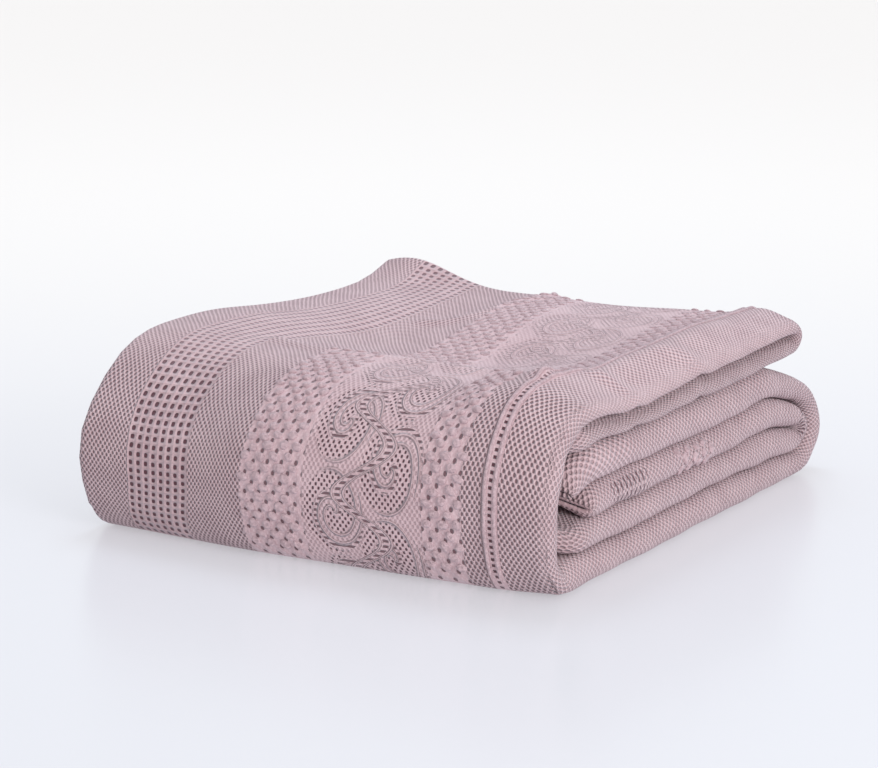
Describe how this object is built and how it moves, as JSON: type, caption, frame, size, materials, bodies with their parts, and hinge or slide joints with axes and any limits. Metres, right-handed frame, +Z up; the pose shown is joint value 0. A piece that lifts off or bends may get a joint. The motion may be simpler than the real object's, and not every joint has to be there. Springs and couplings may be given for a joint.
{
  "type": "folded blanket",
  "caption": "Knitted cotton blanket folded into a rectangular stack, one sheet wrapped round itself with its rolled folds showing at the sides.",
  "frame": {"origin": "middle of the bounding box at the surface it rests on", "axes": "+Z up; the blanket's top flap opens towards +Y and its rolled near side is towards -Y; the pattern's border is at +X"},
  "size_m": [0.368, 0.4334, 0.1296],
  "materials": {
    "knit": "matt dusty pink cotton knit"
  },
  "bodies": {
    "root": {"blanket": "knit"}
  },
  "joints": []
}
